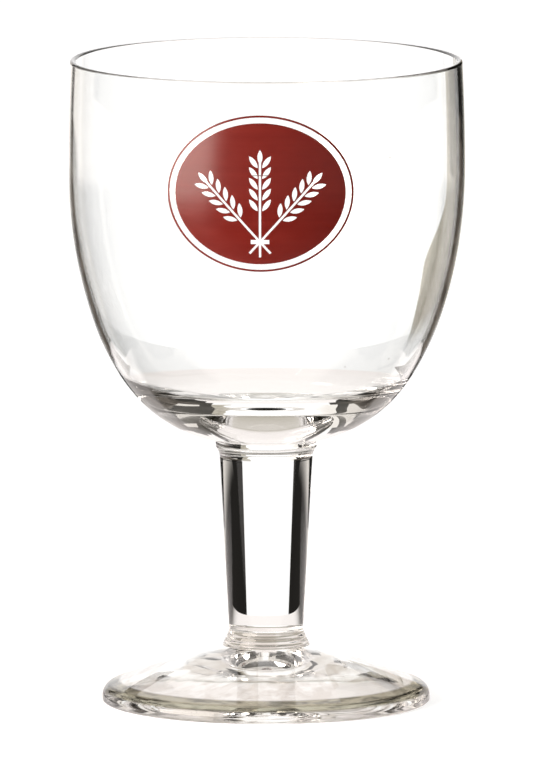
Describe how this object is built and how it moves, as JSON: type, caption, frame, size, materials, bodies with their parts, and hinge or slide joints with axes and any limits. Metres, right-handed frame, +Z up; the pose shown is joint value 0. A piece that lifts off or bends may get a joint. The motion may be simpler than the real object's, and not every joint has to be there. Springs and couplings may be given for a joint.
{
  "type": "chalice beer glass",
  "caption": "Footed glass goblet with a deep rounded bowl, a solid tapered stem, a low conical foot and an enamelled oval medallion, for serving beer.",
  "frame": {"origin": "on the glass's axis, at the middle of the ring that it rests on", "axes": "+Z up along the glass's axis, from the foot to the rim; -Y towards the front, where the medallion is; +X to the right seen from the front"},
  "size_m": [0.1058, 0.1059, 0.1719],
  "materials": {
    "blown_glass": "clear fire-polished",
    "drawn_glass": "clear fire-polished",
    "pressed_glass": "clear pressed, slightly wavy",
    "maroon_enamel": "fired gloss enamel",
    "pale_enamel": "fired satin enamel"
  },
  "bodies": {
    "root": {"bowl": "blown_glass", "stem": "drawn_glass", "foot": "pressed_glass", "medallion_border": "maroon_enamel", "medallion_field": "maroon_enamel", "capacity_line": "pale_enamel"}
  },
  "joints": []
}
